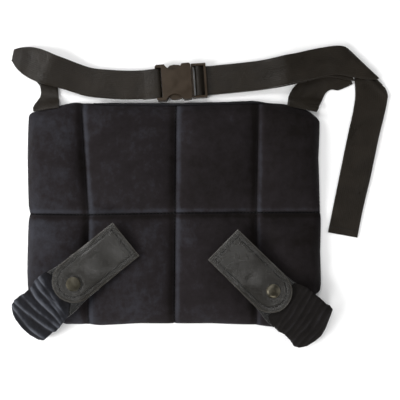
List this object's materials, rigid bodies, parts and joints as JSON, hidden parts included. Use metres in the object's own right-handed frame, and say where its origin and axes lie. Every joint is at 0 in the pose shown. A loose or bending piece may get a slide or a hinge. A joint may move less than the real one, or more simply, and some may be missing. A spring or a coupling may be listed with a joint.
{
  "type": "quilted breast pad",
  "caption": "Quilted velvet breast pad with a webbing strap closed by a side-release buckle, and corner loops that snap under leather flaps.",
  "frame": {"origin": "middle of the pad's flat back face, at the crossing of the two middle quilt lines", "axes": "+Z out of the quilted face, +Y towards the buckled strap, +X to the right as the quilted face is looked at"},
  "size_m": [0.3933, 0.3194, 0.0292],
  "materials": {
    "velvet": "black cotton velvet, short pile with a soft sheen",
    "foam": "soft polyester wadding",
    "webbing": "black-brown polypropylene webbing, satin",
    "thread": "black polyester thread",
    "elastic": "woven elastic",
    "leather": "black grained leather, semi-gloss",
    "buckle_plastic": "brown-black moulded acetal, satin",
    "snap_metal": "dark antiqued metal"
  },
  "bodies": {
    "pad": {"front_cover": "velvet", "back_cover": "velvet", "foam_padding": "foam", "top_binding": "velvet", "quilting_thread": "thread", "sleeve_root_left": "velvet", "elastic_root_left": "elastic", "sleeve_root_right": "velvet", "elastic_root_right": "elastic"},
    "strap": {"left_webbing": "webbing", "left_webbing_stitch": "thread", "buckle_socket": "buckle_plastic", "right_webbing_root": "webbing", "right_webbing_band": "webbing"},
    "plug": {"buckle_plug": "buckle_plastic"},
    "latch_upper": {"latch_arm_upper": "buckle_plastic"},
    "latch_lower": {"latch_arm_lower": "buckle_plastic"},
    "tail": {"right_webbing_tail": "webbing", "tail_hem_stitch": "thread"},
    "flap_left": {"flap_leather_left": "leather", "flap_lining_left": "leather", "flap_stitch_left": "thread", "snap_cap_left": "snap_metal", "snap_socket_left": "snap_metal"},
    "loop_left": {"loop_end_left": "leather", "loop_end_stitch_left": "thread", "snap_stud_left": "snap_metal", "snap_rivet_left": "snap_metal", "loop_sleeve_left": "velvet", "loop_elastic_left": "elastic"},
    "flap_right": {"flap_leather_right": "leather", "flap_lining_right": "leather", "flap_stitch_right": "thread", "snap_cap_right": "snap_metal", "snap_socket_right": "snap_metal"},
    "loop_right": {"loop_end_right": "leather", "loop_end_stitch_right": "thread", "snap_stud_right": "snap_metal", "snap_rivet_right": "snap_metal", "loop_sleeve_right": "velvet", "loop_elastic_right": "elastic"}
  },
  "joints": [
    {"name": "strap_swing", "type": "hinge", "parent": "pad", "child": "strap", "pos_m": [0, 0.11, 0.006], "axis": [1, 0, 0], "range_deg": [0, 60]},
    {"name": "tail_hang", "type": "hinge", "parent": "strap", "child": "tail", "pos_m": [0.202, 0.131, 0.0025], "axis": [1, 0, 0], "range_deg": [-51, 0]},
    {"name": "buckle_release", "type": "slide", "parent": "strap", "child": "plug", "axis": [0.9976, 0.0698, 0], "range_m": [0, 0.028], "deforming": ["right_webbing_band", "latch_arm_upper", "latch_arm_lower"]},
    {"name": "latch_upper_squeeze", "type": "hinge", "parent": "plug", "child": "latch_upper", "pos_m": [0.01631, 0.14715, 0.0056], "axis": [0, 0, 1], "range_deg": [0, 10], "stiffness_Nm_per_rad": 0.1},
    {"name": "latch_lower_squeeze", "type": "hinge", "parent": "plug", "child": "latch_lower", "pos_m": [0.01765, 0.12799, 0.0056], "axis": [0, 0, -1], "range_deg": [0, 10], "stiffness_Nm_per_rad": 0.1},
    {"name": "flap_left_open", "type": "hinge", "parent": "pad", "child": "flap_left", "pos_m": [-0.04809, -0.02542, 0.023], "axis": [-0.628, 0.7782, 0], "range_deg": [0, 120]},
    {"name": "loop_left_open", "type": "hinge", "parent": "pad", "child": "loop_left", "pos_m": [-0.15754, -0.11373, 0.006], "axis": [0.628, -0.7782, 0], "range_deg": [0, 52.5]},
    {"name": "flap_right_open", "type": "hinge", "parent": "pad", "child": "flap_right", "pos_m": [0.0499, -0.0308, 0.023], "axis": [-0.6984, -0.7157, 0], "range_deg": [0, 120]},
    {"name": "loop_right_open", "type": "hinge", "parent": "pad", "child": "loop_right", "pos_m": [0.15055, -0.12903, 0.006], "axis": [0.6984, 0.7157, 0], "range_deg": [0, 52.5]}
  ],
  "couplings": [
    {"joint": "tail_hang", "follows": "strap_swing", "ratio": -0.85},
    {"joint": "loop_left_open", "follows": "flap_left_open", "ratio": 0.4375},
    {"joint": "loop_right_open", "follows": "flap_right_open", "ratio": 0.4375}
  ]
}
